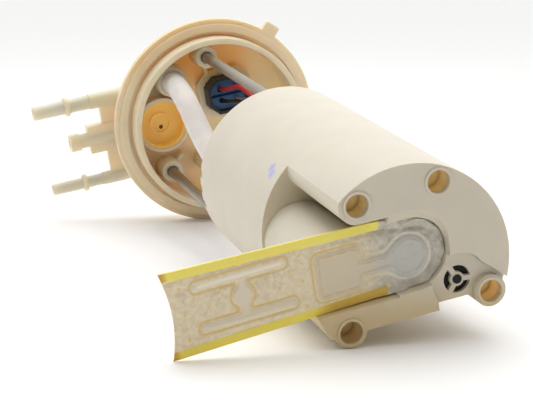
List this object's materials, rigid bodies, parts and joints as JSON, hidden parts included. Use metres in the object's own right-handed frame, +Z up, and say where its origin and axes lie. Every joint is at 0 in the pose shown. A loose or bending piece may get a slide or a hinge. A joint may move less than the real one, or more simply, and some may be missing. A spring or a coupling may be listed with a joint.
{
  "type": "fuel pump module",
  "caption": "Fuel pump module: a flanged tank cover with hose ports, two sprung guide rods and a reservoir that holds the pump, strainer and level sender.",
  "frame": {"origin": "centre of the cover's flange at its seat face on the tank", "axes": "+Y along the module's axis from the reservoir's bottom to the cover, +Z up with the module lying on its side as pictured, +X to the right as seen from the reservoir's bottom"},
  "size_m": [0.1975, 0.3796, 0.139],
  "materials": {
    "cover_acetal": "natural, slightly translucent",
    "valve_cap_acetal": "translucent amber",
    "black_plastic": "satin",
    "blue_plastic": "satin",
    "terminal_metal": "tinned",
    "rod_steel": "ground",
    "bush_acetal": "satin",
    "spring_steel": "drawn wire",
    "reservoir_acetal": "cream, fine satin",
    "black_rubber": "matt",
    "strainer_mesh": "woven mesh",
    "yellow_weld": "welded edge",
    "strainer_plastic": "gloss",
    "pump_steel": "zinc plated",
    "grey_plastic": "satin",
    "impeller_resin": "moulded",
    "core_iron": "laminated",
    "copper": "enamelled",
    "ferrite": "sintered",
    "carbon": "pressed carbon",
    "ceramic_card": "ceramic",
    "float_foam": "closed cell",
    "hose_nylon": "satin",
    "red_wire": "satin",
    "purple_wire": "satin",
    "black_wire": "satin",
    "grey_wire": "satin"
  },
  "bodies": {
    "cover": {"cover": "cover_acetal", "vent_valve_cap": "valve_cap_acetal", "pass_through_connector": "black_plastic", "connector_lock": "blue_plastic", "connector_terminals": "terminal_metal", "guide_rod_upper": "rod_steel", "guide_rod_lower": "rod_steel", "rod_stop_rings": "rod_steel", "feed_hose": "hose_nylon", "wire_red": "red_wire", "wire_purple": "purple_wire", "wire_black": "black_wire", "wire_grey": "grey_wire"},
    "reservoir": {"reservoir": "reservoir_acetal", "reservoir_lid": "reservoir_acetal", "guide_bushes": "bush_acetal", "umbrella_valve": "black_rubber", "strainer_bag": "strainer_mesh", "strainer_edge_bands": "yellow_weld", "strainer_frame": "strainer_plastic", "pump_can": "pump_steel", "pump_inlet_cap": "grey_plastic", "pump_mid_plate": "impeller_resin", "pump_magnets": "ferrite", "pump_outlet_cap": "grey_plastic", "pump_brushes": "carbon", "brush_springs": "spring_steel", "pump_terminals": "terminal_metal", "check_stop": "grey_plastic", "pump_isolators": "black_rubber", "pump_retainer": "reservoir_acetal", "sender_housing": "reservoir_acetal", "sender_card": "ceramic_card", "return_spring_upper": "spring_steel", "return_spring_lower": "spring_steel"},
    "pump_rotor": {"pump_shaft": "rod_steel", "impeller": "impeller_resin", "pump_armature": "core_iron", "pump_windings": "copper", "pump_commutator": "copper"},
    "sender_arm": {"sender_hub": "black_plastic", "float_arm": "rod_steel", "float": "float_foam"},
    "check_ball": {"check_ball": "black_rubber"}
  },
  "joints": [
    {"name": "reservoir_slide", "type": "slide", "parent": "cover", "child": "reservoir", "axis": [0, 1, 0], "range_m": [0, 0.05], "stiffness_N_per_m": 300, "springref_m": -0.03, "deforming": ["return_spring_upper", "return_spring_lower", "feed_hose", "wire_red", "wire_purple", "wire_black", "wire_grey"]},
    {"name": "pump_spin", "type": "hinge", "parent": "reservoir", "child": "pump_rotor", "pos_m": [-0.02981, -0.283, -0.00692], "axis": [0, 1, 0], "continuous": true},
    {"name": "float_swing", "type": "hinge", "parent": "reservoir", "child": "sender_arm", "pos_m": [0.01664, -0.235, -0.03367], "axis": [0.2419, 0, -0.9703], "range_deg": [0, 110]},
    {"name": "check_ball_lift", "type": "slide", "parent": "reservoir", "child": "check_ball", "axis": [0, 1, 0], "range_m": [0, 0.002]}
  ]
}
